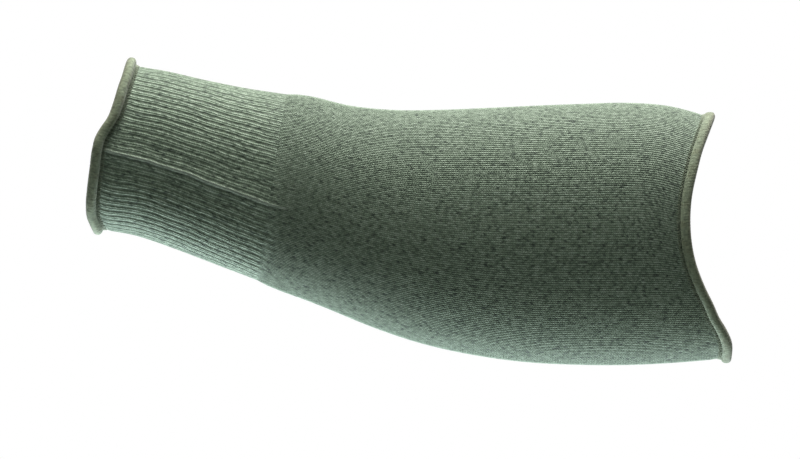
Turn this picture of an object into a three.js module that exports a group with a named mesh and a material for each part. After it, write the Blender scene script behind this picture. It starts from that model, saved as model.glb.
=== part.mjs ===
// Knitted cut resistant sleeve, worn on a forearm: a ribbed cuff, a plain knitted body and a
// rolled, overlocked edge round each opening. Millimetres, +Z up.
// +X runs along the sleeve to the arm end, and the front faces -Y.
// The origin is the middle of the cuff's hollow, where the wrist sits.

import * as THREE from 'three';

// Lengths along the sleeve, each between the lips of the two rolled edges and the seam
const CUFF_LENGTH = 63.5;
const BODY_LENGTH = 180;

// Outer height and depth of the oval sections
const WRIST_HEIGHT = 68.8;
const WRIST_DEPTH = 41;
const SEAM_HEIGHT = 77.6;
const SEAM_DEPTH = 46.5;
const FOREARM_HEIGHT = 108;
const FOREARM_DEPTH = 65;

// How far the middle line drops towards the arm end, and how the sections lean
const CUFF_FALL = 16.6;
const BODY_FALL = 20.5;
const WRIST_LEAN = 12;
const SEAM_LEAN = 9;
const ARM_LEAN = -2.8;

// Knit
const CUFF_WALL = 1.4;
const BODY_WALL = 1.3;
const RIB_COUNT = 72;
const RIB_RELIEF = 0.8;
const RIB_DRIFT = 7;
const BODY_FACETS = 72;

// Pressed fold that runs along one rib at the front, counted from the top
const FOLD_RIB = 18;
const FOLD_HALF_WIDTH_RIBS = 2;
const FOLD_RISE = 0.9;

// Rolled edges: the cloth's end sits in a slot in each roll, with yarn outside and inside the
// slot and past its end
const WRIST_BULGE = 5.8;
const ARM_DIP = 11.5;
const ROLL_WIDTH = 4.4;
const ROLL_OUTER_YARN = 1.9;
const ROLL_INNER_YARN = 0.9;
const ROLL_TIP_YARN = 1.5;
const PIECE_GAP = 0.3;

// The wrist seat's place along the cuff, and how much of the cuff's fall lies above it
const SEAT_ALONG = 0.5;
const SEAT_FALL = 0.45;

// Cuff sections from the wrist lip to the seam. Shares: along of CUFF_LENGTH, fall of CUFF_FALL,
// girth from the wrist's oval to the seam's, rim of the wrist edge's shape, ribs of RIB_RELIEF,
// drift of RIB_DRIFT, fold of FOLD_RISE
const CUFF_SECTIONS = [
  { along: 0.0, fall: 0.0, girth: 0.0, rim: 1.0, ribs: 0.0, drift: 0.16, fold: 1.0 },
  { along: 0.035, fall: 0.03, girth: 0.0, rim: 0.94, ribs: 1.0, drift: 0.25, fold: 1.0 },
  { along: 0.2, fall: 0.145, girth: 0.02, rim: 0.55, ribs: 1.0, drift: 0.42, fold: 0.9 },
  { along: 0.45, fall: 0.41, girth: 0.2, rim: 0.15, ribs: 1.0, drift: 0.55, fold: 0.8 },
  { along: 0.71, fall: 0.7, girth: 0.52, rim: 0.0, ribs: 1.0, drift: 0.76, fold: 0.8 },
  { along: 1.0, fall: 1.0, girth: 1.0, rim: 0.0, ribs: 0.8, drift: 1.0, fold: 0.4 },
];

// Body sections from the seam to the arm lip. Shares: along of BODY_LENGTH, fall of BODY_FALL,
// girth from the seam's oval to the forearm's, rim of the arm edge's shape
const BODY_SECTIONS = [
  { along: 0.0, fall: 0.0, girth: 0.0, rim: 0.0 },
  { along: 0.063, fall: 0.15, girth: 0.11, rim: 0.0 },
  { along: 0.155, fall: 0.4, girth: 0.215, rim: 0.0 },
  { along: 0.257, fall: 0.63, girth: 0.41, rim: 0.0 },
  { along: 0.36, fall: 0.785, girth: 0.62, rim: 0.0 },
  { along: 0.475, fall: 0.885, girth: 0.8, rim: 0.0 },
  { along: 0.59, fall: 0.935, girth: 0.925, rim: 0.0 },
  { along: 0.705, fall: 0.945, girth: 0.985, rim: 0.06 },
  { along: 0.82, fall: 0.935, girth: 1.0, rim: 0.24 },
  { along: 0.92, fall: 0.945, girth: 0.92, rim: 0.62 },
  { along: 1.0, fall: 1.0, girth: 0.76, rim: 1.0 },
];

// Shape of each edge seen from the front and the back alike. down is the share of the height
// below the top, reach the share of WRIST_BULGE or ARM_DIP, both towards the wrist
const WRIST_EDGE = [
  { down: 0.0, reach: 0.0 },
  { down: 0.12, reach: 0.22 },
  { down: 0.27, reach: 0.22 },
  { down: 0.4, reach: 0.62 },
  { down: 0.52, reach: 0.95 },
  { down: 0.66, reach: 1.0 },
  { down: 0.8, reach: 0.8 },
  { down: 0.91, reach: 0.42 },
  { down: 1.0, reach: 0.0 },
];
const ARM_EDGE = [
  { down: 0.0, reach: 0.0 },
  { down: 0.09, reach: 0.27 },
  { down: 0.2, reach: 0.63 },
  { down: 0.35, reach: 0.96 },
  { down: 0.46, reach: 1.0 },
  { down: 0.6, reach: 0.87 },
  { down: 0.7, reach: 0.57 },
  { down: 0.8, reach: 0.15 },
  { down: 0.9, reach: -0.2 },
  { down: 1.0, reach: 0.0 },
];

// Half outline of a roll. out is the share of ROLL_WIDTH from the lip, rise the share of
// ROLL_OUTER_YARN or ROLL_INNER_YARN over the slot
const ROLL_OUTLINE = [
  { out: 0.0, rise: 0.35 },
  { out: 0.36, rise: 1.0 },
  { out: 0.8, rise: 0.72 },
];

const cuffKnit = new THREE.MeshStandardMaterial({ color: 0x7b8c7a, roughness: 0.95, metalness: 0 });
const bodyKnit = new THREE.MeshStandardMaterial({ color: 0x74846f, roughness: 0.95, metalness: 0 });
const rollYarn = new THREE.MeshStandardMaterial({ color: 0x84937e, roughness: 0.9, metalness: 0 });

const { lerp, clamp, degToRad, euclideanModulo } = THREE.MathUtils;

// Reach of an edge at a height, on a smooth curve through the rows of its table
function edgeShare(edge, down) {
  const last = edge.length - 1;
  const slopeAt = (i) => {
    const above = edge[Math.max(i - 1, 0)];
    const below = edge[Math.min(i + 1, last)];
    return (below.reach - above.reach) / (below.down - above.down);
  };
  let row = 0;
  while (row < last - 1 && down > edge[row + 1].down) row += 1;
  const span = edge[row + 1].down - edge[row].down;
  const t = (down - edge[row].down) / span;
  const blended = lerp(edge[row].reach, edge[row + 1].reach, t * t * (3 - 2 * t));
  const startBend = slopeAt(row) * span * t * (1 - t) * (1 - t);
  const endBend = slopeAt(row + 1) * span * t * t * (1 - t);
  return blended + startBend - endBend;
}

// Full turn round the oval from its top, over the front first
const OVAL_START = Math.PI / 2;
const OVAL_END = OVAL_START - 2 * Math.PI;
const OVAL_DIVISIONS = 720;

// A section: its middle, its leaning axes and its outer oval
function makeSection({ x, z, lean, height, depth, drift = 0, edge, edgeSize, rim }) {
  const angle = degToRad(lean);
  const oval = new THREE.EllipseCurve(0, 0, depth / 2, height / 2, OVAL_START, OVAL_END, true);
  oval.arcLengthDivisions = OVAL_DIVISIONS;
  return {
    oval,
    height,
    depth,
    edge,
    edgeReach: edgeSize * rim,
    turnShift: drift / oval.getLength(),
    middle: new THREE.Vector3(x, 0, z),
    along: new THREE.Vector3(Math.cos(angle), 0, -Math.sin(angle)),
    up: new THREE.Vector3(Math.sin(angle), 0, Math.cos(angle)),
  };
}

// A point of the cloth: turn is the share of the way round, lift the distance outwards from
// the outer oval and out the distance along the sleeve
function clothPoint(section, turn, lift, out = 0) {
  const { oval, height, depth } = section;
  const flat = oval.getPointAt(euclideanModulo(turn + section.turnShift, 1));
  const normal = new THREE.Vector2(flat.x / depth ** 2, flat.y / height ** 2).normalize();
  const down = clamp(0.5 - flat.y / height, 0, 1);
  const reach = section.edgeReach * edgeShare(section.edge, down);
  return section.middle.clone()
    .addScaledVector(section.along, out - reach)
    .addScaledVector(section.up, flat.y + normal.y * lift)
    .add(new THREE.Vector3(0, -flat.x - normal.x * lift, 0));
}

// Closed solid from rings of points: each ring joins the next, and the last joins the first
function ringSolid(rings) {
  const count = rings[0].length;
  const positions = rings.flat().flatMap((point) => point.toArray());
  const index = [];
  for (let ring = 0; ring < rings.length; ring += 1) {
    const here = ring * count;
    const next = ((ring + 1) % rings.length) * count;
    for (let i = 0; i < count; i += 1) {
      const j = (i + 1) % count;
      index.push(here + i, here + j, next + j);
      index.push(here + i, next + j, next + i);
    }
  }
  const geometry = new THREE.BufferGeometry();
  geometry.setAttribute('position', new THREE.Float32BufferAttribute(positions, 3));
  geometry.setIndex(index);
  geometry.computeVertexNormals();
  return geometry;
}

// Length of cloth inside a roll's slot
const clothTuck = ROLL_WIDTH - ROLL_TIP_YARN - PIECE_GAP;

// Places along the middle line
const wristX = -CUFF_LENGTH * SEAT_ALONG;
const wristZ = CUFF_FALL * SEAT_FALL;
const seamX = wristX + CUFF_LENGTH;
const seamZ = wristZ - CUFF_FALL;

function cuffSection(row) {
  return makeSection({
    x: wristX + row.along * CUFF_LENGTH,
    z: wristZ - row.fall * CUFF_FALL,
    lean: lerp(WRIST_LEAN, SEAM_LEAN, row.along),
    height: lerp(WRIST_HEIGHT, SEAM_HEIGHT, row.girth),
    depth: lerp(WRIST_DEPTH, SEAM_DEPTH, row.girth),
    drift: row.drift * RIB_DRIFT,
    edge: WRIST_EDGE,
    edgeSize: WRIST_BULGE,
    rim: row.rim,
  });
}

function bodySection(row) {
  return makeSection({
    x: seamX + row.along * BODY_LENGTH,
    z: seamZ - row.fall * BODY_FALL,
    lean: lerp(SEAM_LEAN, ARM_LEAN, row.along),
    height: lerp(SEAM_HEIGHT, FOREARM_HEIGHT, row.girth),
    depth: lerp(SEAM_DEPTH, FOREARM_DEPTH, row.girth),
    edge: ARM_EDGE,
    edgeSize: ARM_DIP,
    rim: row.rim,
  });
}

// Lift of the pressed fold at a place counted in ribs from the top
function foldLift(ribs, share) {
  const away = Math.abs(ribs - FOLD_RIB) / FOLD_HALF_WIDTH_RIBS;
  return FOLD_RISE * share * Math.max(0, 1 - away);
}

// Ribbed cuff: even points are rib crests, odd points the grooves between them
function ribbedCuff() {
  const points = 2 * RIB_COUNT;
  const ring = ({ row, out }, lift) => {
    const section = cuffSection(row);
    return Array.from({ length: points }, (_, i) => {
      const groove = (i % 2) * RIB_RELIEF * row.ribs;
      return clothPoint(section, i / points, lift - groove + foldLift(i / 2, row.fold), out);
    });
  };
  const stations = [
    { row: CUFF_SECTIONS[0], out: -clothTuck },
    ...CUFF_SECTIONS.slice(0, -1).map((row) => ({ row, out: 0 })),
    { row: CUFF_SECTIONS.at(-1), out: -PIECE_GAP / 2 },
  ];
  const outside = stations.map((station) => ring(station, 0));
  const inside = stations.map((station) => ring(station, -CUFF_WALL));
  return ringSolid([...outside, ...inside.reverse()]);
}

// Plain knitted body, from the seam to the cloth's end inside the arm roll
function sleeveBody() {
  const ring = ({ row, out }, lift) => {
    const section = bodySection(row);
    return Array.from({ length: BODY_FACETS }, (_, i) => (
      clothPoint(section, i / BODY_FACETS, lift, out)
    ));
  };
  const stations = [
    { row: BODY_SECTIONS[0], out: PIECE_GAP / 2 },
    ...BODY_SECTIONS.slice(1).map((row) => ({ row, out: 0 })),
    { row: BODY_SECTIONS.at(-1), out: clothTuck },
  ];
  const outside = stations.map((station) => ring(station, 0));
  const inside = stations.map((station) => ring(station, -BODY_WALL));
  return ringSolid([...outside, ...inside.reverse()]);
}

// Outline of a roll round the cloth's end: out from the lip, lift from the cloth's outer face
function rollOutline(wall) {
  const slotEnd = clothTuck + PIECE_GAP;
  const slotTop = PIECE_GAP;
  const slotFloor = -wall - PIECE_GAP;
  const side = (slotFace, yarn) => ROLL_OUTLINE.map(({ out, rise }) => ({
    out: out * ROLL_WIDTH,
    lift: slotFace + rise * yarn,
  }));
  return [
    ...side(slotTop, ROLL_OUTER_YARN),
    { out: ROLL_WIDTH, lift: -wall / 2 },
    ...side(slotFloor, -ROLL_INNER_YARN).reverse(),
    { out: 0, lift: slotFloor },
    { out: slotEnd, lift: slotFloor },
    { out: slotEnd, lift: slotTop },
    { out: 0, lift: slotTop },
  ];
}

// Roll round the wrist edge, one facet to a rib, with the fold running through it
function cuffBinding() {
  const row = CUFF_SECTIONS[0];
  const section = cuffSection(row);
  const ring = ({ out, lift }) => Array.from({ length: RIB_COUNT }, (_, rib) => (
    clothPoint(section, rib / RIB_COUNT, lift + foldLift(rib, row.fold), -out)
  ));
  return ringSolid(rollOutline(CUFF_WALL).map(ring).reverse());
}

// Roll round the arm edge
function armBinding() {
  const section = bodySection(BODY_SECTIONS.at(-1));
  const ring = ({ out, lift }) => Array.from({ length: BODY_FACETS }, (_, i) => (
    clothPoint(section, i / BODY_FACETS, lift, out)
  ));
  return ringSolid(rollOutline(BODY_WALL).map(ring));
}

function addPiece(group, name, geometry, material) {
  const mesh = new THREE.Mesh(geometry, material);
  mesh.name = name;
  group.add(mesh);
}

const sleeve = new THREE.Group();
addPiece(sleeve, 'ribbed_cuff', ribbedCuff(), cuffKnit);
addPiece(sleeve, 'sleeve_body', sleeveBody(), bodyKnit);
addPiece(sleeve, 'cuff_binding', cuffBinding(), rollYarn);
addPiece(sleeve, 'arm_binding', armBinding(), rollYarn);

export default sleeve;
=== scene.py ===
import math
from collections import namedtuple

import bpy
import numpy as np
from bpy.props import FloatProperty, FloatVectorProperty, IntProperty, PointerProperty
from bpy.types import Operator, Panel, PropertyGroup
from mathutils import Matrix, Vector


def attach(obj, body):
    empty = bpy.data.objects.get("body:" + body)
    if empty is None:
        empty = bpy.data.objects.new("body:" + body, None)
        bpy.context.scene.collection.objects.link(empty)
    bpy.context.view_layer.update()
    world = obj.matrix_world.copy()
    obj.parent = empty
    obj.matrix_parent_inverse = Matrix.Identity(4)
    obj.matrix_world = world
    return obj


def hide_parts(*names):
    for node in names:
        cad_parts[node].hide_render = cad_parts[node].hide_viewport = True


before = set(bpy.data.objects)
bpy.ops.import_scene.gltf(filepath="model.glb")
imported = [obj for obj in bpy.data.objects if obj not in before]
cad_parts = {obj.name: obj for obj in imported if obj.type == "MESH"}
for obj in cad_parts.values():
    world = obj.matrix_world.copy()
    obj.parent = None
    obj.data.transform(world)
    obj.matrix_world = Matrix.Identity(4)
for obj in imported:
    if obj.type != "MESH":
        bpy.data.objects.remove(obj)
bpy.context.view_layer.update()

bl_info = {
    "name": "Knitted Cut Resistant Sleeve",
    "version": (1, 0, 0),
    "blender": (4, 5, 0),
    "location": "View3D > Sidebar > Sleeve",
    "description": "Builds a knitted forearm sleeve with a ribbed cuff and rolled edges",
    "category": "Add Mesh",
}

MM = 0.001
MERGE_DISTANCE = 0.01 * MM
KNIT_UV = "Knit"

# Sections of the cuff from the wrist lip to the seam, and of the body from there to the arm lip.
# Shares: along of the length, fall of the middle line's drop, girth from the first oval to the
# last, rim of the edge's shape, drift of the rib drift, fold of the fold's rise
CUFF_TABLE = {
    "along": (0.0, 0.035, 0.2, 0.45, 0.71, 1.0),
    "fall": (0.0, 0.03, 0.145, 0.41, 0.7, 1.0),
    "girth": (0.0, 0.0, 0.02, 0.2, 0.52, 1.0),
    "rim": (1.0, 0.94, 0.55, 0.15, 0.0, 0.0),
    "drift": (0.3, 0.35, 0.44, 0.55, 0.76, 1.0),
    "fold": (1.0, 1.0, 0.9, 0.8, 0.8, 0.6),
}
BODY_TABLE = {
    "along": (0.0, 0.063, 0.155, 0.257, 0.36, 0.475, 0.59, 0.705, 0.82, 0.92, 1.0),
    "fall": (0.0, 0.15, 0.4, 0.63, 0.785, 0.885, 0.935, 0.945, 0.935, 0.945, 1.0),
    "girth": (0.0, 0.11, 0.215, 0.41, 0.62, 0.8, 0.925, 0.985, 1.0, 0.92, 0.76),
    "rim": (0.0, 0.0, 0.0, 0.0, 0.0, 0.0, 0.0, 0.06, 0.24, 0.62, 1.0),
}

# Shape of each edge seen from the front: down is the share of the height below the top, reach
# the share of the wrist bulge or the arm dip, both towards the wrist
WRIST_EDGE = {
    "down": (0.0, 0.08, 0.16, 0.25, 0.345, 0.41, 0.47, 0.54, 0.66, 0.78, 0.87, 0.94, 1.0),
    "reach": (-0.08, -0.04, 0.06, 0.13, 0.31, 0.63, 0.85, 0.89, 0.79, 0.68, 0.55, 0.31, -0.22),
}
ARM_EDGE = {
    "down": (0.0, 0.08, 0.14, 0.22, 0.35, 0.46, 0.6, 0.7, 0.78, 0.83, 0.89, 0.94, 1.0),
    "reach": (-0.05, 0.27, 0.5, 0.73, 1.02, 1.1, 0.97, 0.69, 0.39, 0.22, -0.06, -0.22, -0.21),
}

# How far past the seam the ribs run at the front and back, in mm. At the top they end twice as
# far short of it
RIB_END_SWING = 4.3

# Share of a rib's fall to its groove that is even, while the rest keeps the crest broad, and
# share of a rib's room that the wale on its crest takes
CREST_SLOPE = 0.25
CREST_ROOM = 0.75

# Grooves between the ribs: seed of their random depths, places along the cuff where these are
# drawn, and the least depth as a share of the deepest
GROOVE_SEED = 7
GROOVE_KNOTS = 14
LEAST_GROOVE = 0.35

# Half widths of the pressed fold, of its end on the wrist roll and of its sharp line, in ribs
FOLD_HALF_WIDTH = 2
FOLD_END_HALF_WIDTH = 3
PINCH_HALF_WIDTH = 0.4

# Waves in a rib's line: share, millimetres to a radian, step from rib to rib and start
WANDER_WAVES = ((0.45, 3.6, 0.5, 0.0), (0.35, 2.3, -0.9, 1.1), (0.2, 1.3, 2.4, 0.0))

# Power that squares off the round section of a roll
ROLL_SQUARENESS = 0.8

# Faces of a knitted tube along it and to each wale, and steps that measure an oval's girth
KNIT_ROWS = 84
FACES_PER_WALE = 4
GIRTH_STEPS = 1440

# Faces shade smoothly into each other up to this angle
SMOOTH_ANGLE = math.radians(60)

# Marl of the yarn: steps that make neighbouring legs and ribs unlike, changes of tone to a course
# along a leg and a groove, and to a wale and a course in the flecks of about 1 by 2 mm
LEG_STEP = 7.31
RIB_STEP = 5.17
LEG_CHANGE = 0.5
GROOVE_CHANGE = 0.45
FLECK_CHANGE = (1.5, 0.45, 1)

# Shares of leg, fleck and single stitch in the tone, its start, and the places of the dark, main
# and pale yarn on it
LEG_TONE = 0.8
FLECK_TONE = 0.2
STITCH_TONE = 0.12
TONE_START = -0.06
YARN_STOPS = (0.22, 0.5, 0.74)

# Stitches: power that rounds a leg, courses that a leg climbs to a wale, dip between the loops of
# a leg, height of a stitch hidden in a groove, what a leg's tone adds to its height, and the start
LEG_ROUND = 0.7
LEG_CLIMB = 1.6
LOOP_DIP = 0.5
HIDDEN_HEIGHT = 0.45
STRAND_LIFT = 0.9
STRAND_HEIGHT = 0.55

# Painted shade of the knit: light left in the gaps between stitches, what a whole stitch adds to
# it, what noise adds to the painted shade of a groove's broken line, and that shade's start
GAP_LIGHT = 0.3
STITCH_LIGHT = 0.8
GROOVE_DARK = 1.2
GROOVE_START = -0.25

# Pale line of the fold, partly wear and partly a painted highlight of its ridge: core and edge in
# wales, and courses over which it ends. Band of painted shade below it: start and end in wales,
# and light at its start
LINE_CORE = 0.15
LINE_EDGE = 0.45
LINE_END = 3
BAND_START = 0.4
BAND_END = 1.8
BAND_LIGHT = 0.7

# Rolls: shares of their round between which they turn in, brown and painted shade of the turned
# side, brown of the patches, and noise values over which a patch turns brown
TURN_START = 0.14
TURN_END = 0.4
TURN_BROWN_AND_SHADE = 0.8
PATCH_BROWN = 0.45
PATCH_RANGE = (0.5, 0.68)

# Noise values between which a fibre goes from its darkest to its lightest tone, and those tones
FIBRE_RANGE = (0.3, 0.7)
CRIMP_TONES = (0.66, 1.22)
THREAD_TONES = (0.8, 1.15)

# Changes to a wrap of 1.3 mm, and once round the roll's section of about 15 mm, in the brown
# patches and in the crimp of the fibres
PATCH_CHANGE = (0.3, 2.5, 1)
CRIMP_CHANGE = (1.6, 9.0, 1)

# Noise cells to a metre in the looper thread, each as long as the thread is thick, 0.4 mm
THREAD_CHANGE = 2500.0

# Node kinds used most
MATHS = "ShaderNodeMath"
VECTOR_MATHS = "ShaderNodeVectorMath"
MAP_RANGE = "ShaderNodeMapRange"
NOISE = "ShaderNodeTexNoise"


def linear(hex_colour):
    """Linear red, green and blue of an sRGB hex colour."""
    channels = (int(hex_colour[i:i + 2], 16) / 255 for i in (1, 3, 5))
    return tuple(c / 12.92 if c <= 0.04045 else ((c + 0.055) / 1.055) ** 2.4 for c in channels)


def length(name, description, millimetres):
    """Property of a length, shown in the scene's unit."""
    metres = millimetres * MM
    return FloatProperty(name=name, description=description, default=metres, unit="LENGTH")


def lean(name, description, degrees):
    """Property of an angle."""
    radians = math.radians(degrees)
    return FloatProperty(name=name, description=description, default=radians, subtype="ANGLE")


def factor(name, description, value):
    """Property of a share."""
    return FloatProperty(name=name, description=description, default=value, subtype="FACTOR")


def colour(name, description, hex_colour):
    """Property of a colour."""
    return FloatVectorProperty(
        name=name, description=description, default=linear(hex_colour), subtype="COLOR",
        min=0, max=1,
    )


class SleeveSizes(PropertyGroup):
    cuff_length: length("Cuff length", "Wrist lip to the seam", 63.5)
    body_length: length("Body length", "Seam to the arm lip", 180)
    wrist_height: length("Wrist height", "Outer height of the cuff's oval at the wrist", 68.8)
    wrist_depth: length("Wrist depth", "Outer depth of the cuff's oval at the wrist", 41)
    seam_height: length("Seam height", "Outer height of the oval at the seam", 77.6)
    seam_depth: length("Seam depth", "Outer depth of the oval at the seam", 46.5)
    forearm_height: length("Forearm height", "Outer height of the widest oval", 108)
    forearm_depth: length("Forearm depth", "Outer depth of the widest oval", 65)
    cuff_fall: length("Cuff fall", "Drop of the middle line along the cuff", 16.6)
    body_fall: length("Body fall", "Drop of the middle line along the body", 20.5)
    wrist_bulge: length("Wrist bulge", "How far the wrist edge bulges at front and back", 5.8)
    arm_dip: length("Arm dip", "How far the arm edge dips in at front and back", 11.5)
    cuff_wall: length("Cuff wall", "Thickness of the ribbed cloth", 1.4)
    body_wall: length("Body wall", "Thickness of the plain cloth", 1.3)
    wrist_lean: lean("Wrist lean", "Lean of the section at the wrist", 12)
    seam_lean: lean("Seam lean", "Lean of the section at the seam", 9)
    arm_lean: lean("Arm lean", "Lean of the section at the arm edge", -2.8)
    seat_along: factor("Seat along", "Place of the wrist seat along the cuff", 0.5)
    seat_fall: factor("Seat fall", "Share of the cuff's fall above the wrist seat", 0.45)


class KnitSizes(PropertyGroup):
    wales: IntProperty(name="Wales", description="Columns of stitches", default=144)
    course_pitch: length("Course pitch", "Height of one row of stitches", 1.0)
    rib_relief: length("Rib relief", "Height of a rib over its deepest groove", 0.21)
    rib_paleness: factor("Rib paleness", "How much paler a rib looks than the plain knit", 0.14)
    rib_fade: length("Rib fade", "Length over which the ribs run out", 6)
    rib_drift: length("Rib drift", "How far the ribs drift round the cuff", 7)
    rib_wander: length("Rib wander", "How far a rib wanders from a straight line", 0.22)
    leg_relief: length("Leg relief", "Depth of the groove between two strands of the body", 0.12)
    stitch_relief: length("Stitch relief", "Depth of the gaps round one stitch", 0.3)
    edge_dip: length("Edge dip", "How far the cloth is pulled in beside a rolled edge", 0.35)
    shoulder: length("Shoulder", "How far the plain knit stands over the end of the ribs", 0.45)
    fold_rise: length("Fold rise", "Height of the pressed fold", 0.9)
    fold_pinch: length("Fold pinch", "Height of the sharp line along the fold", 0.3)
    fold_tail: length("Fold tail", "How far the fold runs into the plain knit", 9)
    fold_rib: IntProperty(name="Fold rib", description="Rib that carries the fold", default=18)


class RollSizes(PropertyGroup):
    width: length("Roll width", "Lip to tip of a rolled edge", 4.4)
    outer_yarn: length("Outer yarn", "Thickness outside the slot", 1.9)
    inner_yarn: length("Inner yarn", "Thickness inside the slot", 0.9)
    tip_yarn: length("Tip yarn", "Thickness past the cloth's end", 1.5)
    gap: length("Gap", "Room between the cloth and its slot", 0.3)
    wrap_pitch: length("Wrap pitch", "Spacing of the overlock threads round the roll", 1.3)
    wrap_relief: length("Wrap relief", "Depth between two wraps", 0.14)
    thread_reach: length("Thread reach", "How far the looper thread reaches onto the cloth", 1.3)
    thread_radius: length("Thread radius", "Radius of the looper thread", 0.2)


class SleeveColours(PropertyGroup):
    yarn: colour("Yarn", "Main strand of the marled yarn", "#899C84")
    dark_yarn: colour("Dark yarn", "Dark strand of the marled yarn", "#465347")
    pale_yarn: colour("Pale yarn", "Lightest fibres of the marled yarn", "#A6B8A1")
    roll: colour("Roll yarn", "Textured yarn of the rolled edges", "#7E8A71")
    # Turned side: its brown is the yarn's own, its darker tone painted shade of the side turned
    # from the light
    roll_tip: colour("Roll tip", "Turned side of the rolled edges", "#6D7055")
    # Fold line colour: partly wear, partly a painted highlight of the fold's ridge
    fold: colour("Fold line", "Worn line along the pressed fold", "#BCC8B8")
    floor: colour("Floor", "Studio floor", "#B9C1BF")


class StudioSizes(PropertyGroup):
    frame_width: length("Frame width", "Width of the picture at the sleeve's middle", 329.6)
    camera_distance: length("Camera distance", "Camera to the sleeve's middle", 3600)
    frame_middle_x: length("Frame middle X", "Picture's middle along the sleeve", 84.5)
    frame_middle_z: length("Frame middle Z", "Picture's middle height", -26.5)
    floor_z: length("Floor height", "Height of the studio floor", -450)
    floor_radius: length("Floor radius", "Radius of the studio floor", 4000)


def smooth_column(table, place_name, value_name, places):
    """Values of a table's column at places, on a smooth curve through its rows."""
    xs = np.array(table[place_name])
    ys = np.array(table[value_name])
    slopes = np.gradient(ys, xs)
    row = np.clip(np.searchsorted(xs, places, side="right") - 1, 0, len(xs) - 2)
    span = xs[row + 1] - xs[row]
    t = (places - xs[row]) / span
    blended = ys[row] + (ys[row + 1] - ys[row]) * t * t * (3 - 2 * t)
    start_bend = slopes[row] * span * t * (1 - t) ** 2
    end_bend = slopes[row + 1] * span * t * t * (1 - t)
    return blended + start_bend - end_bend


def smooth_step(low, high, values):
    """0 below low, 1 above high and a smooth rise between."""
    t = np.clip((values - low) / (high - low), 0, 1)
    return t * t * (3 - 2 * t)


def between(ends, share):
    """Value at a share of the way from the first end to the last."""
    first, last = ends
    return first + (last - first) * share


class Tube:
    """One stretch of the sleeve, which gives points of its cloth from places along and round it."""

    def __init__(self, knit, table, edge, edge_size, length, fall, start, leans, heights, depths):
        self.knit, self.table = knit, table
        self.edge, self.edge_size = edge, edge_size
        self.length, self.fall = length, fall
        self.start_x, self.start_z = start
        self.leans, self.heights, self.depths = leans, heights, depths

    def column(self, name, along):
        return smooth_column(self.table, "along", name, np.clip(along, 0, 1))

    def sections(self, along):
        """Middles, axes and ovals at places along the tube."""
        inside = np.clip(along, 0, 1)
        girth = self.column("girth", along)
        tilt = between(self.leans, inside)
        height = between(self.heights, girth)
        depth = between(self.depths, girth)
        zeros = np.zeros_like(tilt)
        axis = np.stack([np.cos(tilt), zeros, -np.sin(tilt)], axis=1)
        up = np.stack([np.sin(tilt), zeros, np.cos(tilt)], axis=1)
        middle = np.stack([
            self.start_x + self.length * inside,
            zeros,
            self.start_z - self.fall * self.column("fall", along),
        ], axis=1)
        middle += axis * ((along - inside) * self.length)[:, None]
        return middle, axis, up, height, depth

    def points(self, along, turns, lift=0.0, out=0.0):
        """Grid of points, one row for each place along and one column for each turn."""
        middle, axis, up, height, depth = self.sections(along)
        half_height, half_depth = height[:, None] / 2, depth[:, None] / 2
        angles = np.linspace(0, 2 * np.pi, GIRTH_STEPS + 1)
        middles = (angles[1:] + angles[:-1]) / 2
        steps = np.hypot(half_depth * np.cos(middles), half_height * np.sin(middles))
        arc = np.concatenate([np.zeros((len(along), 1)), np.cumsum(steps, axis=1)], axis=1)
        girth = arc[:, -1] * (angles[1] - angles[0])
        arc /= arc[:, -1:]
        turn = turns + self.drift(along)[:, None] / girth[:, None]
        angle = np.stack([np.interp(t % 1, a, angles) for t, a in zip(turn, arc)])
        side, rise = half_depth * np.sin(angle), half_height * np.cos(angle)
        normal = np.stack([np.sin(angle) / half_depth, np.cos(angle) / half_height])
        normal /= np.linalg.norm(normal, axis=0)
        down = np.clip(0.5 - rise / (2 * half_height), 0, 1)
        reach = smooth_column(self.edge, "down", "reach", down) * self.edge_size
        reach = reach * self.column("rim", along)[:, None]
        grid = middle[:, None, :] + axis[:, None, :] * (out - reach)[..., None]
        grid = grid + up[:, None, :] * (rise + normal[1] * lift)[..., None]
        grid[..., 1] -= side + normal[0] * lift
        return grid

    def drift(self, along):
        """How far the wales have drifted round the tube."""
        if "drift" in self.table:
            return self.knit.rib_drift * self.column("drift", along)
        return np.full_like(along, self.knit.rib_drift)


def cuff_tube(settings):
    sizes = settings.sleeve_sizes
    return Tube(
        settings.knit_sizes, CUFF_TABLE, WRIST_EDGE, sizes.wrist_bulge,
        length=sizes.cuff_length, fall=sizes.cuff_fall,
        start=(-sizes.cuff_length * sizes.seat_along, sizes.cuff_fall * sizes.seat_fall),
        leans=(sizes.wrist_lean, sizes.seam_lean),
        heights=(sizes.wrist_height, sizes.seam_height),
        depths=(sizes.wrist_depth, sizes.seam_depth),
    )


def body_tube(settings):
    sizes = settings.sleeve_sizes
    start_x = sizes.cuff_length * (1 - sizes.seat_along)
    return Tube(
        settings.knit_sizes, BODY_TABLE, ARM_EDGE, sizes.arm_dip,
        length=sizes.body_length, fall=sizes.body_fall,
        start=(start_x, sizes.cuff_fall * (sizes.seat_fall - 1)),
        leans=(sizes.seam_lean, sizes.arm_lean),
        heights=(sizes.seam_height, sizes.forearm_height),
        depths=(sizes.seam_depth, sizes.forearm_depth),
    )


def oval_girth(height, depth):
    return math.pi * (height + depth) / 2


def cloth_tuck(rolls):
    """Length of cloth inside a roll's slot."""
    return rolls.width - rolls.tip_yarn - rolls.gap


def grid_object(name, columns, rows):
    """New grid of columns by rows faces, with its Knit map running from 0 to 1 both ways."""
    bpy.ops.object.select_all(action="DESELECT")
    bpy.ops.mesh.primitive_grid_add(x_subdivisions=columns, y_subdivisions=rows, size=1)
    piece = bpy.context.object
    piece.name = piece.data.name = name
    piece.data.uv_layers[0].name = KNIT_UV
    return piece


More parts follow.
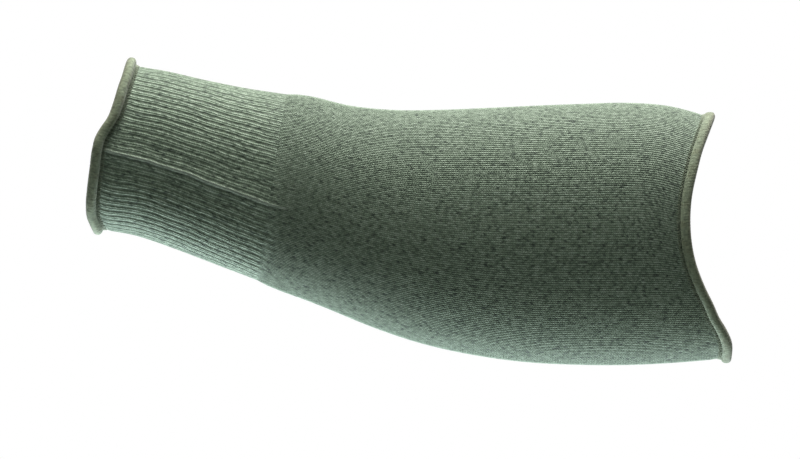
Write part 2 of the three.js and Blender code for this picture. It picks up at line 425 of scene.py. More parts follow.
def grid_places(piece):
    """Place of each vertex of a fresh grid across its columns and rows, from 0 to 1."""
    flat = np.empty(len(piece.data.vertices) * 3)
    piece.data.vertices.foreach_get("co", flat)
    flat = flat.reshape(-1, 3) + 0.5
    return flat[:, 0], flat[:, 1]


def grid_lines(places):
    """The rows or columns of a grid, and the one that each vertex is on."""
    return np.unique(np.round(places, 7), return_inverse=True)


def knit_grid(name, knit, start, end):
    """New grid for a knitted tube from start to end along it, with its rows, its columns and the
    row and column of each vertex."""
    piece = grid_object(name, knit.wales * FACES_PER_WALE, KNIT_ROWS)
    across, up = grid_places(piece)
    rows, row_of = grid_lines(start + up * (end - start))
    columns, column_of = grid_lines(across)
    return piece, rows, columns, (row_of, column_of)


def move_vertices(piece, points):
    piece.data.vertices.foreach_set("co", points.reshape(-1))
    piece.data.update()


def scale_map(piece, across, along, start=0.0, ribs=0):
    """Turn the Knit map's shares into counts of wales and courses."""
    layer = piece.data.uv_layers[KNIT_UV]
    places = np.empty(len(layer.uv) * 2)
    layer.uv.foreach_get("vector", places)
    shares = places.reshape(-1, 2)
    places = shares * (across, along) + (0, start)
    if ribs:
        places[:, 0] = rib_wales(shares[:, 0] * ribs)
    layer.uv.foreach_set("vector", places.reshape(-1))


def close_seam(solid=False):
    """Merge the active piece where its edges meet, and turn the faces of a solid outwards."""
    bpy.ops.object.mode_set(mode="EDIT")
    bpy.ops.mesh.select_all(action="SELECT")
    bpy.ops.mesh.remove_doubles(threshold=MERGE_DISTANCE)
    if solid:
        bpy.ops.mesh.normals_make_consistent(inside=False)
    bpy.ops.object.mode_set(mode="OBJECT")


def give_wall(piece, wall):
    """Give the open tube its wall, towards the inside."""
    solidify = piece.modifiers.new("Wall", "SOLIDIFY")
    solidify.thickness = wall
    solidify.offset = -1
    bpy.ops.object.modifier_apply(modifier=solidify.name)
    bpy.ops.object.shade_smooth_by_angle(angle=SMOOTH_ANGLE)


def finish_piece(piece, material, node):
    piece.data.materials.clear()
    piece.data.materials.append(material)
    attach(piece, "root")
    if node:
        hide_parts(node)


def set_inputs(tree, node, inputs):
    """Give a node's inputs values or links."""
    pairs = inputs.items() if isinstance(inputs, dict) else enumerate(inputs)
    for name, value in pairs:
        if isinstance(value, bpy.types.Node):
            value = value.outputs[0]
        if isinstance(value, bpy.types.NodeSocket):
            tree.links.new(value, node.inputs[name])
        else:
            node.inputs[name].default_value = value


def add_node(tree, kind, inputs=(), **settings):
    """Add a node with its settings, values and links."""
    node = tree.nodes.new(kind)
    for name, value in settings.items():
        setattr(node, name, value)
    set_inputs(tree, node, inputs)
    return node


def new_material(name, roughness, sheen):
    """Cloth material with its tree and shader, which the caller gives a colour."""
    material = bpy.data.materials.new(name)
    material.use_nodes = True
    tree = material.node_tree
    shader = tree.nodes["Principled BSDF"]
    set_inputs(tree, shader, {
        "Roughness": roughness, "Specular IOR Level": 0.25,
        "Sheen Weight": sheen, "Sheen Roughness": 0.5,
    })
    return material, tree, shader


def rib_end_nodes(tree, knit, sizes, wale, course):
    """Share of the ribs that is left at a place, by the same curve as rib_share."""
    once = add_node(tree, MATHS, [wale, 2 * math.pi / knit.wales], operation="MULTIPLY")
    twice = add_node(tree, MATHS, [once, 2.0], operation="MULTIPLY")
    once = add_node(tree, MATHS, [once], operation="COSINE")
    twice = add_node(tree, MATHS, [twice], operation="COSINE")
    swing = add_node(tree, MATHS, [once, twice], operation="ADD")
    course_swing = RIB_END_SWING / (knit.course_pitch / MM)
    straight = add_node(tree, MATHS, [swing, course_swing, course], operation="MULTIPLY_ADD")
    middle = sizes.cuff_length / knit.course_pitch
    half_fade = knit.rib_fade / knit.course_pitch / 2
    limits = [straight, middle - half_fade, middle + half_fade, 1.0, 0.0]
    return add_node(tree, MAP_RANGE, limits, interpolation_type="SMOOTHSTEP")


def arches(tree, place, radians):
    """Row of round arches from 0 to 1 along a place."""
    turn = add_node(tree, MATHS, [place, radians], operation="MULTIPLY")
    wave = add_node(tree, MATHS, [turn], operation="SINE")
    return add_node(tree, MATHS, [wave], operation="ABSOLUTE")


def knit_material(name, settings):
    """Marled cut resistant yarn, knitted: matt, fuzzy strands of several tones that run up and
    down each stitch, with painted shade in the gaps between the stitches, in the grooves between
    the ribs and in a band below the pressed fold, a fold line pale from wear and a painted
    highlight, and a soft pale edge where it turns away. The map counts wales across and courses
    along."""
    knit, sizes, colours = settings.knit_sizes, settings.sleeve_sizes, settings.sleeve_colours
    material, tree, shader = new_material(name, roughness=0.9, sheen=0.25)
    place = add_node(tree, "ShaderNodeUVMap", uv_map=KNIT_UV)
    parts = add_node(tree, "ShaderNodeSeparateXYZ", [place])
    wale, course = parts.outputs[0], parts.outputs[1]

    # Two legs to a stitch, which lean apart in a V
    two_legs = arches(tree, wale, 2 * math.pi)
    leg = add_node(tree, MATHS, [two_legs, LEG_ROUND], operation="POWER")
    from_side = add_node(tree, MATHS, [wale, 0.5], operation="PINGPONG")
    loop_place = add_node(tree, MATHS, [from_side, LEG_CLIMB, course], operation="MULTIPLY_ADD")
    loop = arches(tree, loop_place, math.pi)
    loop_round = add_node(tree, MATHS, [loop, LOOP_DIP, 1 - LOOP_DIP], operation="MULTIPLY_ADD")
    stitch = add_node(tree, MATHS, [leg, loop_round], operation="MULTIPLY")

    # The stitches of the grooves between the ribs hide, and the ribs run out in the body
    rib_share = rib_end_nodes(tree, knit, sizes, wale, course)
    rib_turn = add_node(tree, MATHS, [wale, math.pi], operation="MULTIPLY")
    on_rib = add_node(tree, MATHS, [rib_turn], operation="COSINE")
    off_rib = add_node(tree, MATHS, [on_rib, -0.5, 0.5], operation="MULTIPLY_ADD")
    groove = add_node(tree, MATHS, [off_rib, 2.0], operation="POWER")
    hidden = add_node(tree, MATHS, [groove, rib_share], operation="MULTIPLY")
    flatter = add_node(tree, MATHS, [hidden, HIDDEN_HEIGHT], operation="MULTIPLY")
    shown = add_node(tree, MATHS, [1.0, hidden], operation="SUBTRACT")
    stitch = add_node(tree, MATHS, [stitch, shown, flatter], operation="MULTIPLY_ADD")

    # Tone of the yarn: each leg has its own, which changes every two stitches or so, and the legs
    # gather in soft flecks
    legs = add_node(tree, MATHS, [wale, 2.0], operation="MULTIPLY")
    leg_number = add_node(tree, MATHS, [legs], operation="FLOOR")
    apart = add_node(tree, MATHS, [leg_number, LEG_STEP], operation="MULTIPLY")
    slow = add_node(tree, MATHS, [loop_place, LEG_CHANGE], operation="MULTIPLY")
    strand_place = add_node(tree, "ShaderNodeCombineXYZ", [apart, slow])
    strand = add_node(tree, NOISE, {"Vector": strand_place, "Scale": 1.0, "Detail": 1.0},
                      noise_dimensions="2D")
    fleck_place = add_node(tree, VECTOR_MATHS, [place, FLECK_CHANGE], operation="MULTIPLY")
    fleck = add_node(tree, NOISE, {"Vector": fleck_place, "Scale": 1.0, "Detail": 3.0},
                     noise_dimensions="2D")
    row_number = add_node(tree, MATHS, [loop_place], operation="FLOOR")
    cell_place = add_node(tree, "ShaderNodeCombineXYZ", [leg_number, row_number])
    cell = add_node(tree, "ShaderNodeTexWhiteNoise", [cell_place], noise_dimensions="2D")
    tone = add_node(tree, MATHS, [strand, LEG_TONE, TONE_START], operation="MULTIPLY_ADD")
    tone = add_node(tree, MATHS, [fleck, FLECK_TONE, tone], operation="MULTIPLY_ADD")
    tone = add_node(tree, MATHS, [cell, STITCH_TONE, tone], operation="MULTIPLY_ADD")
    ramp = add_node(tree, "ShaderNodeValToRGB", [tone])
    stops = ramp.color_ramp.elements
    dark_place, main_place, pale_place = YARN_STOPS
    stops[0].position, stops[0].color = dark_place, (*colours.dark_yarn, 1)
    stops[1].position, stops[1].color = pale_place, (*colours.pale_yarn, 1)
    middle_stop = stops.new(main_place)
    middle_stop.color = (*colours.yarn, 1)

    # Painted shade in the gaps between stitches and in broken lines between the ribs
    rib_half = add_node(tree, MATHS, [wale, 0.5], operation="MULTIPLY")
    rib_number = add_node(tree, MATHS, [rib_half], operation="FLOOR")
    rib_apart = add_node(tree, MATHS, [rib_number, RIB_STEP], operation="MULTIPLY")
    rib_slow = add_node(tree, MATHS, [course, GROOVE_CHANGE], operation="MULTIPLY")
    broken_place = add_node(tree, "ShaderNodeCombineXYZ", [rib_apart, rib_slow])
    broken = add_node(tree, NOISE, {"Vector": broken_place, "Scale": 1.0, "Detail": 1.0},
                      noise_dimensions="2D")
    broken_groove_shade = add_node(tree, MATHS, [broken, GROOVE_DARK, GROOVE_START],
                           operation="MULTIPLY_ADD")
    groove_shade = add_node(tree, MATHS, [groove, broken_groove_shade], operation="MULTIPLY")
    rib_paleness_and_groove_shade = add_node(tree, MATHS, [knit.rib_paleness, groove_shade], operation="SUBTRACT")
    open_share = add_node(tree, MATHS, [rib_paleness_and_groove_shade, rib_share, 1.0], operation="MULTIPLY_ADD")
    gap_shade = add_node(tree, MATHS, [stitch, STITCH_LIGHT, GAP_LIGHT], operation="MULTIPLY_ADD")
    shade = add_node(tree, MATHS, [gap_shade, open_share], operation="MULTIPLY")

    # The pressed fold is pale along its line, partly wear and partly a painted highlight of its
    # ridge, with painted shade just below it
    below_fold = add_node(tree, MATHS, [wale, 2.0 * knit.fold_rib], operation="SUBTRACT")
    from_fold = add_node(tree, MATHS, [below_fold], operation="ABSOLUTE")
    fold_end = (sizes.cuff_length + knit.fold_tail) / knit.course_pitch
    fold_share = add_node(tree, MAP_RANGE, [course, fold_end - LINE_END, fold_end, 1.0, 0.0])
    line = add_node(tree, MAP_RANGE, [from_fold, LINE_CORE, LINE_EDGE, 1.0, 0.0],
                    interpolation_type="SMOOTHSTEP")
    worn_and_highlit = add_node(tree, MATHS, [broken, fold_share], operation="MULTIPLY")
    line_share = add_node(tree, MATHS, [line, worn_and_highlit], operation="MULTIPLY")
    under = add_node(tree, MAP_RANGE, [below_fold, BAND_START, BAND_END, BAND_LIGHT, 1.0])
    at_under = add_node(tree, MATHS, [below_fold, BAND_START], operation="GREATER_THAN")
    at_under = add_node(tree, MATHS, [at_under, fold_share], operation="MULTIPLY")
    under_fold_shade = add_node(tree, "ShaderNodeMix", {0: at_under, 2: 1.0, 3: under})
    shade = add_node(tree, MATHS, [shade, under_fold_shade], operation="MULTIPLY")
    shaded = add_node(tree, VECTOR_MATHS, {0: ramp, "Scale": shade}, operation="SCALE")
    pale = add_node(tree, "ShaderNodeMix", {0: line_share, 6: shaded, 7: (*colours.fold, 1)},
                    data_type="RGBA")

    # Each leg lies higher or lower than the next
    uneven = add_node(tree, MATHS, [strand, STRAND_LIFT, STRAND_HEIGHT], operation="MULTIPLY_ADD")
    height = add_node(tree, MATHS, [stitch, uneven], operation="MULTIPLY")
    bump = add_node(tree, "ShaderNodeBump", {
        "Strength": 1.0, "Distance": knit.stitch_relief, "Height": height})
    set_inputs(tree, shader, {"Base Color": pale.outputs[2], "Normal": bump})
    return material


def roll_material(name, settings):
    """Textured overlock yarn, wrapped: crimped, slightly silky fibres in green and brown, paler
    along the lip and browner and darker where it turns in, the brown its own and the darker a
    painted shade of the side turned from the light. The map counts wraps across and runs once
    round the roll along."""
    colours, rolls = settings.sleeve_colours, settings.roll_sizes
    material, tree, shader = new_material(name, roughness=0.85, sheen=0.2)
    place = add_node(tree, "ShaderNodeUVMap", uv_map=KNIT_UV)
    parts = add_node(tree, "ShaderNodeSeparateXYZ", [place])
    # The turned side is browner and darker: the brown its own, the dark a painted shade
    limits = [parts.outputs[1], TURN_START, TURN_END, 0.0, TURN_BROWN_AND_SHADE]
    turned = add_node(tree, MAP_RANGE, limits, interpolation_type="SMOOTHSTEP")
    patch_place = add_node(tree, VECTOR_MATHS, [place, PATCH_CHANGE], operation="MULTIPLY")
    patch = add_node(tree, NOISE, {"Vector": patch_place, "Scale": 1.0, "Detail": 2.0},
                     noise_dimensions="2D")
    brown = add_node(tree, MAP_RANGE, [patch, *PATCH_RANGE, 0.0, PATCH_BROWN])
    brown_and_shade_share = add_node(tree, MATHS, [turned, brown], operation="MAXIMUM")
    base = add_node(tree, "ShaderNodeMix",
                    {0: brown_and_shade_share, 6: (*colours.roll, 1), 7: (*colours.roll_tip, 1)},
                    data_type="RGBA")
    crimp_place = add_node(tree, VECTOR_MATHS, [place, CRIMP_CHANGE], operation="MULTIPLY")
    crimp = add_node(tree, NOISE, {"Vector": crimp_place, "Scale": 1.0, "Detail": 3.0,
                                   "Roughness": 0.6}, noise_dimensions="2D")
    tone = add_node(tree, MAP_RANGE, [crimp, *FIBRE_RANGE, *CRIMP_TONES])
    shaded = add_node(tree, VECTOR_MATHS, {0: base.outputs[2], "Scale": tone},
                      operation="SCALE")
    bump = add_node(tree, "ShaderNodeBump", {
        "Strength": 1.0, "Distance": 2 * rolls.wrap_relief, "Height": crimp})
    set_inputs(tree, shader, {"Base Color": shaded, "Normal": bump})
    return material


def thread_material(name, settings):
    """Fine textured polyester looper thread: soft, a little silky, of one even green."""
    material, tree, shader = new_material(name, roughness=0.7, sheen=0.3)
    place = add_node(tree, "ShaderNodeTexCoord").outputs["Object"]
    fibre = add_node(tree, NOISE, {"Vector": place, "Scale": THREAD_CHANGE, "Detail": 2.0})
    tone = add_node(tree, MAP_RANGE, [fibre, *FIBRE_RANGE, *THREAD_TONES])
    colour_node = add_node(tree, "ShaderNodeRGB")
    colour_node.outputs[0].default_value = (*settings.sleeve_colours.roll, 1)
    shaded = add_node(tree, VECTOR_MATHS, {0: colour_node, "Scale": tone}, operation="SCALE")
    set_inputs(tree, shader, {"Base Color": shaded})
    return material


def rib_shape(ribs):
    """Height of the ribs from 0 in a groove to 1 on a crest, with broad round crests."""
    from_crest = 0.5 - 0.5 * np.cos(2 * np.pi * ribs)
    return 1 - CREST_SLOPE * from_crest - (1 - CREST_SLOPE) * from_crest ** 2


def rib_wales(ribs):
    """Wales counted over the ribs, where a crest's wale takes more room than a groove's."""
    nearest = np.round(ribs)
    away = ribs - nearest
    side = CREST_ROOM / 2
    return 2 * nearest + np.interp(away, (-0.5, -side, side, 0.5), (-1, -0.5, 0.5, 1))


def rib_share(knit, sizes, rows_mm, turns):
    """Share of the ribs that is left: they run out past the seam at the front and back, and short
    of it at the top."""
    swing = np.cos(2 * np.pi * turns) + np.cos(4 * np.pi * turns)
    end = sizes.cuff_length / MM - RIB_END_SWING * swing
    half_fade = knit.rib_fade / MM / 2
    return 1 - smooth_step(-half_fade, half_fade, rows_mm - end)


def groove_depths(rows, ribs):
    """Depth of each groove at each row, as a share of the deepest, changing every 5 mm or so."""
    chance = np.random.default_rng(GROOVE_SEED)
    knots = chance.uniform(LEAST_GROOVE, 1.0, (GROOVE_KNOTS, int(ribs.max()) + 1))
    places = np.interp(rows, (rows.min(), rows.max()), (0, GROOVE_KNOTS - 1))
    low = np.minimum(places.astype(int), GROOVE_KNOTS - 2)
    share = (places - low)[:, None]
    depths = knots[low] * (1 - share) + knots[low + 1] * share
    return depths[:, np.minimum(ribs.astype(int), knots.shape[1] - 1)]


def fold_lift(knit, ribs, share):
    """Rise of the cloth at the pressed fold: a broad swell with a sharp line along it."""
    away = np.abs(ribs - knit.fold_rib)
    swell = knit.fold_rise * np.clip(1 - away / FOLD_HALF_WIDTH, 0, 1)
    return share * (swell + knit.fold_pinch * np.clip(1 - away / PINCH_HALF_WIDTH, 0, 1))


def wander(knit, along_mm, ribs):
    """Small sideways wander of the ribs, each a little out of step with its neighbours."""
    return knit.rib_wander * sum(
        share * np.sin(along_mm / radian + step * ribs + start)
        for share, radian, step, start in WANDER_WAVES
    )


class SLEEVE_OT_ribbed_cuff(Operator):
    """Knit the ribbed cuff"""
    bl_idname = "sleeve.ribbed_cuff"
    bl_label = "Ribbed Cuff"

    # Shares of the cuff's length by which the ribs stand up, the pull-in ends and the ribs that
    # level out join the others, and from which the ribs wander less
    RIBS_START = 0.04
    DIP_END = 0.05
    LEVEL_END = 0.35
    WANDER_END = 0.93

    # Where the ribs level out, low at the front, in turns from the top, and their shift in mm
    LEVEL_START = 0.25
    LEVEL_WIDTH = 0.3
    LEVEL_SHIFT = 2.0

    def execute(self, context):
        settings = context.scene
        knit, sizes, rolls = settings.knit_sizes, settings.sleeve_sizes, settings.roll_sizes
        tube = cuff_tube(settings)
        tuck = cloth_tuck(rolls) / tube.length
        piece, rows, columns, spots = knit_grid("cuff_rib_knit", knit, -tuck, 1)
        rib_count = knit.wales / 2
        ribs = columns * rib_count
        rows_mm = rows[:, None] * tube.length / MM
        open_share = smooth_step(0.0, self.RIBS_START, rows)[:, None]
        near_seam = smooth_step(self.WANDER_END, 1.0, rows)[:, None]
        relief = knit.rib_relief * open_share * rib_share(knit, sizes, rows_mm, columns)
        relief = relief * groove_depths(rows, ribs)
        fold = fold_lift(knit, ribs, tube.column("fold", rows)[:, None])
        dip = knit.edge_dip * (1 - smooth_step(0.0, self.DIP_END, rows))[:, None]
        lift = fold - dip - relief * (1 - rib_shape(ribs))
        wrist_girth = oval_girth(sizes.wrist_height, sizes.wrist_depth)
        sideways = wander(knit, rows_mm, ribs) * open_share * (1 - near_seam)
        from_start = (columns - self.LEVEL_START) / self.LEVEL_WIDTH
        lower_front = np.sin(np.pi * np.clip(from_start, 0, 1)) ** 2
        near_lip = (1 - smooth_step(0.0, self.LEVEL_END, rows))[:, None]
        level = self.LEVEL_SHIFT * MM * lower_front * near_lip
        turns = columns + (sideways + level) / wrist_girth
        move_vertices(piece, tube.points(rows, turns, lift)[spots])
        scale_map(piece, knit.wales, tube.length * (1 + tuck) / knit.course_pitch,
                  -cloth_tuck(rolls) / knit.course_pitch, ribs=rib_count)
        close_seam()
        give_wall(piece, sizes.cuff_wall)
        finish_piece(piece, knit_material("rib_knit_marled_yarn", settings),
                     "ribbed_cuff")
        return {"FINISHED"}


class SLEEVE_OT_jersey_body(Operator):
    """Knit the plain body of the sleeve"""
    bl_idname = "sleeve.jersey_body"
    bl_label = "Jersey Body"

    # Shares of the body's length from which the strands' relief fades and the pull-in deepens
    STRANDS_END = 0.985
    DIP_START = 0.982

    # Millimetres past the seam between which the shoulder rises, and between which it falls
    SHOULDER_RISE = (0, 4)
    SHOULDER_FALL = (6, 22)

    def execute(self, context):
        settings = context.scene
        knit, sizes, rolls = settings.knit_sizes, settings.sleeve_sizes, settings.roll_sizes
        tube = body_tube(settings)
        tuck = cloth_tuck(rolls) / tube.length
        piece, rows, columns, spots = knit_grid("body_jersey_knit", knit, 0, 1 + tuck)
        wales = columns * knit.wales
        rows_mm = rows[:, None] * tube.length / MM
        ribs_left = rib_share(knit, sizes, rows_mm + sizes.cuff_length / MM, columns)
        depths = groove_depths(np.array([0.0, 1.0]), wales / 2)[-1:]
        rib_end = knit.rib_relief * ribs_left * depths * (1 - rib_shape(wales / 2))
        open_share = (1 - smooth_step(self.STRANDS_END, 1.0, rows))[:, None]
        leg_groove = knit.leg_relief * (1 - ribs_left) * open_share * np.cos(2 * np.pi * wales) ** 2
        risen = smooth_step(*self.SHOULDER_RISE, rows_mm)
        shoulder = knit.shoulder * risen * (1 - smooth_step(*self.SHOULDER_FALL, rows_mm))
        tail = CUFF_TABLE["fold"][-1] * (1 - smooth_step(0, knit.fold_tail / MM, rows_mm))
        dip = knit.edge_dip * smooth_step(self.DIP_START, 1.0, rows)[:, None]
        lift = fold_lift(knit, wales / 2, tail) + shoulder - dip - rib_end - leg_groove
        move_vertices(piece, tube.points(rows, columns, lift)[spots])
        cuff_courses = sizes.cuff_length / knit.course_pitch
        scale_map(piece, knit.wales, tube.length * (1 + tuck) / knit.course_pitch, cuff_courses)
        close_seam()
        give_wall(piece, sizes.body_wall)
        finish_piece(piece, knit_material("jersey_knit_marled_yarn", settings),
                     "sleeve_body")
        return {"FINISHED"}


def roll_section(rolls, wall, points, fullness):
    """Outline of a roll, from its outer lip round the tip to its inner lip and back through the
    slot, as how far out and how high over the cloth each point lies."""
    slot_half = wall / 2 + rolls.gap
    outer, inner = slot_half + rolls.outer_yarn * fullness, slot_half + rolls.inner_yarn
    first = math.pi - math.asin((slot_half / outer) ** (1 / ROLL_SQUARENESS))
    last = math.asin((slot_half / inner) ** (1 / ROLL_SQUARENESS)) - math.pi
    angles = np.linspace(first, last, points)
    side = np.cos(angles)
    up = np.sin(angles)
    half_height = np.where(up > 0, outer, inner)
    out = rolls.width / 2 * (1 + np.sign(side) * np.abs(side) ** ROLL_SQUARENESS)
    lift = np.sign(up) * half_height * np.abs(up) ** ROLL_SQUARENESS - wall / 2
    slot_end = cloth_tuck(rolls) + rolls.gap
    return (
        np.concatenate([out, [slot_end, slot_end]]),
        np.concatenate([lift, [-wall - rolls.gap, rolls.gap]]),
    )


# Edge of a tube: its place along it, 1 or -1 for the way out, the cloth's wall, the girth, the
# shares of the outer yarn at the top and the bottom, and the CAD's node
Edge = namedtuple("Edge", "tube place outward wall girth top bottom node")


class SLEEVE_OT_rolled_edges(Operator):
    """Roll and overlock the edge round each opening"""
    bl_idname = "sleeve.rolled_edges"
    bl_label = "Rolled Edges"

    SECTION_POINTS = 18
    FACES_PER_WRAP = 4

    # Shares of the outer yarn in the thinnest and fullest sections that a roll is blended from
    THINNEST = 0.4
    FULLEST = 1.4

    # Relief of the wraps at the roll's tip as a share of that beside the slot, power that makes a
    # wrap broad, and wraps that one slants over on its way round the roll
    TIP_RELIEF = 0.35
    WRAP_BREADTH = 0.7
    WRAP_SLANT = 0.9

    # Waves in a roll's fullness: size, half turns round the sleeve and start
    UNEVEN_WAVES = ((0.05, 6, 1), (0.04, 22, 0))

    # Looper thread: corners in each wrap, 0 on the roll and 1 on the cloth, millimetres that it
    # starts inside the roll, and shares of its radius over the cloth and of the pull-in under it
    THREAD_CORNERS = (0, 1, 1, 0)
    THREAD_ROOT = 0.3
    THREAD_STAND = 0.5
    THREAD_SINK = 0.6

    def make_roll(self, settings, name, edge):
        """Roll round an edge, with its slot for the cloth and its wraps."""
        knit, rolls = settings.knit_sizes, settings.roll_sizes
        wall, outward = edge.wall, edge.outward
        wraps = round(edge.girth / rolls.wrap_pitch)
        thin_out, thin_lift = roll_section(rolls, wall, self.SECTION_POINTS, self.THINNEST)
        full_out, full_lift = roll_section(rolls, wall, self.SECTION_POINTS, self.FULLEST)
        count = len(full_out)
        points_round = np.arange(self.SECTION_POINTS) / (self.SECTION_POINTS - 1)
        from_tip = 1 - np.sin(np.pi * points_round)
        relief = np.append(self.TIP_RELIEF + (1 - self.TIP_RELIEF) * from_tip, np.zeros(2))
        relief[[0, self.SECTION_POINTS - 1]] = 0
        piece = grid_object(name, wraps * self.FACES_PER_WRAP, count)
        across, round_share = grid_places(piece)
        columns, column_of = grid_lines(across)
        section_of = np.round(round_share * count).astype(int)
        points = np.empty((count + 1, len(columns), 3))
        fold = 0.0
        if outward < 0:
            ribs_away = np.abs(columns * knit.wales / 2 - knit.fold_rib)
            from_fold = np.clip(ribs_away / FOLD_END_HALF_WIDTH, 0, 1)
            fold = knit.fold_rise * np.cos(np.pi / 2 * from_fold) ** 2
        uneven = sum(
            size * np.sin(half_turns * np.pi * columns + start)
            for size, half_turns, start in self.UNEVEN_WAVES
        )
        mean, swing = (edge.top + edge.bottom) / 2, (edge.top - edge.bottom) / 2
        fullness = mean + swing * np.cos(2 * np.pi * columns) + uneven
        blend = (fullness - self.THINNEST) / (self.FULLEST - self.THINNEST)
        for i in range(count + 1):
            k = i % count
            slant = self.WRAP_SLANT * i / count
            wrap = 0.5 - 0.5 * np.cos(2 * np.pi * (columns * wraps + slant))
            inward = rolls.wrap_relief * relief[k] * (1 - wrap ** self.WRAP_BREADTH)
            outs = between((thin_out[k], full_out[k]), blend)
            lifts = between((thin_lift[k], full_lift[k]), blend)
            to_centre = np.array([rolls.width / 2 - outs, -wall / 2 - lifts])
            to_centre /= np.linalg.norm(to_centre, axis=0)
            outs = outs + to_centre[0] * inward
            lifts = lifts + to_centre[1] * inward
            ring = edge.tube.points(np.array([edge.place]), columns, lifts + fold, outward * outs)
            points[i] = ring[0]
        move_vertices(piece, points[section_of, column_of])
        scale_map(piece, wraps, 1.0)
        close_seam(solid=True)
        bpy.ops.object.shade_smooth_by_angle(angle=SMOOTH_ANGLE)
        return piece

    def make_thread(self, settings, name, edge):
        """Looper thread that zigzags between a rolled edge and the cloth beside it."""
        knit, rolls = settings.knit_sizes, settings.roll_sizes
        wraps = round(edge.girth / rolls.wrap_pitch)
        corner = np.tile(self.THREAD_CORNERS, wraps)
        steps = np.arange(len(corner)) / len(corner)
        root = self.THREAD_ROOT * MM
        reach = root - (rolls.thread_reach + root) * corner
        on_cloth = self.THREAD_STAND * rolls.thread_radius - self.THREAD_SINK * knit.edge_dip
        lift = np.where(corner, on_cloth, rolls.gap)
        if edge.outward < 0:
            lift = lift + fold_lift(knit, steps * knit.wales / 2, 1.0)
        ring = edge.tube.points(np.array([edge.place]), steps, lift, edge.outward * reach)
        curve = bpy.data.curves.new(name, "CURVE")
        curve.dimensions = "3D"
        curve.bevel_depth = rolls.thread_radius
        curve.bevel_resolution = 1
        spline = curve.splines.new("POLY")
        spline.points.add(len(steps) - 1)
        weighted = np.append(ring[0], np.ones((len(steps), 1)), axis=1)
        spline.points.foreach_set("co", weighted.ravel())
        spline.use_cyclic_u = True
        thread = bpy.data.objects.new(name, curve)
        bpy.context.collection.objects.link(thread)
        bpy.ops.object.select_all(action="DESELECT")
        thread.select_set(True)
        bpy.context.view_layer.objects.active = thread
        bpy.ops.object.convert(target="MESH")
        bpy.ops.object.shade_smooth()
        return bpy.context.object

    def execute(self, context):
        settings = context.scene
        sizes = settings.sleeve_sizes
        wrist_girth = oval_girth(sizes.wrist_height, sizes.wrist_depth)
        arm_girth = oval_girth(sizes.forearm_height, sizes.forearm_depth)
        edges = {
            "wrist": Edge(cuff_tube(settings), place=0.0, outward=-1, wall=sizes.cuff_wall,
                          girth=wrist_girth, top=1.4, bottom=1.3, node="cuff_binding"),
            "arm": Edge(body_tube(settings), place=1.0, outward=1, wall=sizes.body_wall,
                        girth=arm_girth, top=0.45, bottom=0.85, node="arm_binding"),
        }
        roll_yarn = roll_material("overlocked_textured_yarn", settings)
        thread_yarn = thread_material("looper_thread", settings)
        for end, edge in edges.items():
            roll = self.make_roll(settings, f"{end}_rolled_edge", edge)
            finish_piece(roll, roll_yarn, edge.node)
        for end, edge in edges.items():
            thread = self.make_thread(settings, f"{end}_edge_thread", edge)
            finish_piece(thread, thread_yarn, None)
        return {"FINISHED"}


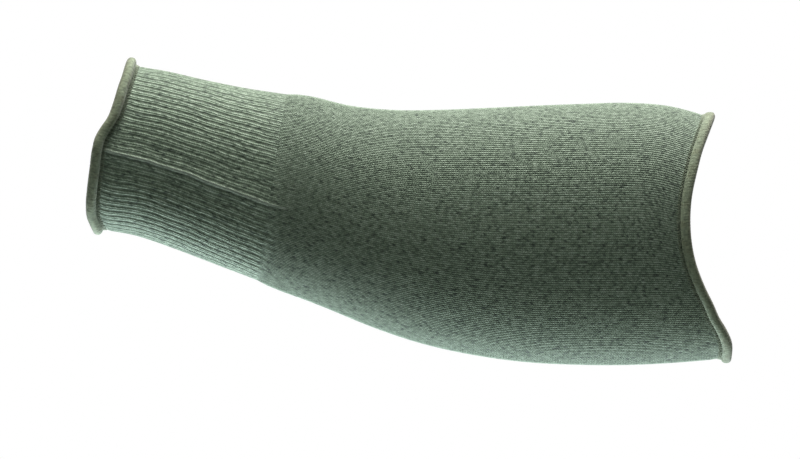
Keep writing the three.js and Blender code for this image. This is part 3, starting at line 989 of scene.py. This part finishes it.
class SLEEVE_OT_studio(Operator):
    """Set up the camera, the lights and the floor"""
    bl_idname = "sleeve.studio"
    bl_label = "Studio"

    # Name, place from the picture's middle, tilt of the beam from straight down to the front,
    # depth, power and tint of each soft light
    SOFTBOXES = (
        ("top_softbox_wrist", (-0.38, -0.233, 0.869), -15, 0.5, 2.0, (0.97, 1.0, 0.92)),
        ("top_softbox_middle", (-0.04, 0, 0.9), 0, 0.5, 13.0, (0.98, 0.97, 0.97)),
        ("top_softbox_arm", (0.42, 0.263, 0.861), 17, 0.5, 12.0, (1.0, 0.93, 1.0)),
        ("floor_bounce_wrist", (-0.38, 0.27, -0.413), 180, 0.45, 4.2, (0.8, 0.9, 1.0)),
        ("floor_bounce_middle", (-0.08, 0.27, -0.413), 180, 0.4, 5.6, (0.8, 0.9, 1.0)),
        ("floor_bounce_arm", (0.42, 0.3, -0.413), 180, 0.3, 1.7, (0.82, 0.9, 1.0)),
    )
    SOFTBOX_LENGTH = 0.4

    # Light of the white world on the sleeve, as a share of what the camera sees
    WORLD_LIGHT = 0.05

    def execute(self, context):
        scene = context.scene
        studio, colours = scene.studio_sizes, scene.sleeve_colours
        middle = Vector((studio.frame_middle_x, 0, studio.frame_middle_z))
        bpy.ops.object.select_all(action="DESELECT")
        bpy.ops.object.camera_add(location=middle - Vector((0, studio.camera_distance, 0)),
                                  rotation=(math.pi / 2, 0, 0))
        camera = context.object
        camera.name = "studio_camera"
        lens = camera.data
        lens.lens = lens.sensor_width * studio.camera_distance / studio.frame_width
        lens.clip_start = 0.01
        scene.camera = camera
        scene.view_settings.view_transform = "Standard"

        self.add_floor(studio, colours)
        for name, place, *beam in self.SOFTBOXES:
            self.add_light(name, middle + Vector(place), *beam)
        self.set_world(scene)
        return {"FINISHED"}

    def add_floor(self, studio, colours):
        bpy.ops.mesh.primitive_circle_add(
            vertices=128, radius=studio.floor_radius, fill_type="NGON",
            location=(studio.frame_middle_x, 0, studio.floor_z),
        )
        floor = bpy.context.object
        floor.name = "studio_floor"
        material = bpy.data.materials.new("painted_floor")
        material.use_nodes = True
        tree = material.node_tree
        paint = (*colours.floor, 1)
        seen = add_node(tree, "ShaderNodeLightPath").outputs["Is Camera Ray"]
        set_inputs(tree, tree.nodes["Principled BSDF"], {
            "Base Color": paint, "Roughness": 0.9, "Emission Color": paint,
            "Emission Strength": seen,
        })
        floor.data.materials.append(material)

    def add_light(self, name, location, tilt, depth, power, tint):
        bpy.ops.object.light_add(type="AREA", location=location,
                                 rotation=(math.radians(-tilt), 0, 0))
        light = bpy.context.object
        light.name = name
        light.data.shape = "RECTANGLE"
        light.data.size, light.data.size_y = self.SOFTBOX_LENGTH, depth
        light.data.energy = power
        light.data.color = tint
        light.visible_camera = False

    def set_world(self, scene):
        """White behind the sleeve for the camera, and a dimmer white for its light."""
        world = bpy.data.worlds.new("studio_world")
        world.use_nodes = True
        scene.world = world
        tree = world.node_tree
        seen = add_node(tree, "ShaderNodeLightPath").outputs["Is Camera Ray"]
        strength = add_node(tree, MAP_RANGE, {"Value": seen, 3: self.WORLD_LIGHT, 4: 1.0})
        set_inputs(tree, tree.nodes["Background"], {"Color": (1, 1, 1, 1), "Strength": strength})


class SLEEVE_PT_build(Panel):
    """Lists the sizes, the colours and the steps that build the sleeve"""
    bl_idname = "SLEEVE_PT_build"
    bl_label = "Knitted Sleeve"
    bl_space_type = "VIEW_3D"
    bl_region_type = "UI"
    bl_category = "Sleeve"

    def draw(self, context):
        for group in SETTINGS:
            box = self.layout.box()
            settings = getattr(context.scene, group)
            for name in type(settings).__annotations__:
                box.prop(settings, name)
        for step in STEPS:
            self.layout.operator(step.bl_idname)


SETTINGS = {
    "sleeve_sizes": SleeveSizes,
    "knit_sizes": KnitSizes,
    "roll_sizes": RollSizes,
    "sleeve_colours": SleeveColours,
    "studio_sizes": StudioSizes,
}
STEPS = (SLEEVE_OT_studio, SLEEVE_OT_ribbed_cuff, SLEEVE_OT_jersey_body, SLEEVE_OT_rolled_edges)
CLASSES = (*SETTINGS.values(), *STEPS, SLEEVE_PT_build)


def register():
    for each in CLASSES:
        bpy.utils.register_class(each)
    for name, group in SETTINGS.items():
        setattr(bpy.types.Scene, name, PointerProperty(type=group))


def unregister():
    for name in SETTINGS:
        delattr(bpy.types.Scene, name)
    for each in reversed(CLASSES):
        bpy.utils.unregister_class(each)


def main():
    register()
    bpy.ops.sleeve.studio()
    bpy.ops.sleeve.ribbed_cuff()
    bpy.ops.sleeve.jersey_body()
    bpy.ops.sleeve.rolled_edges()


if __name__ == "__main__":
    main()
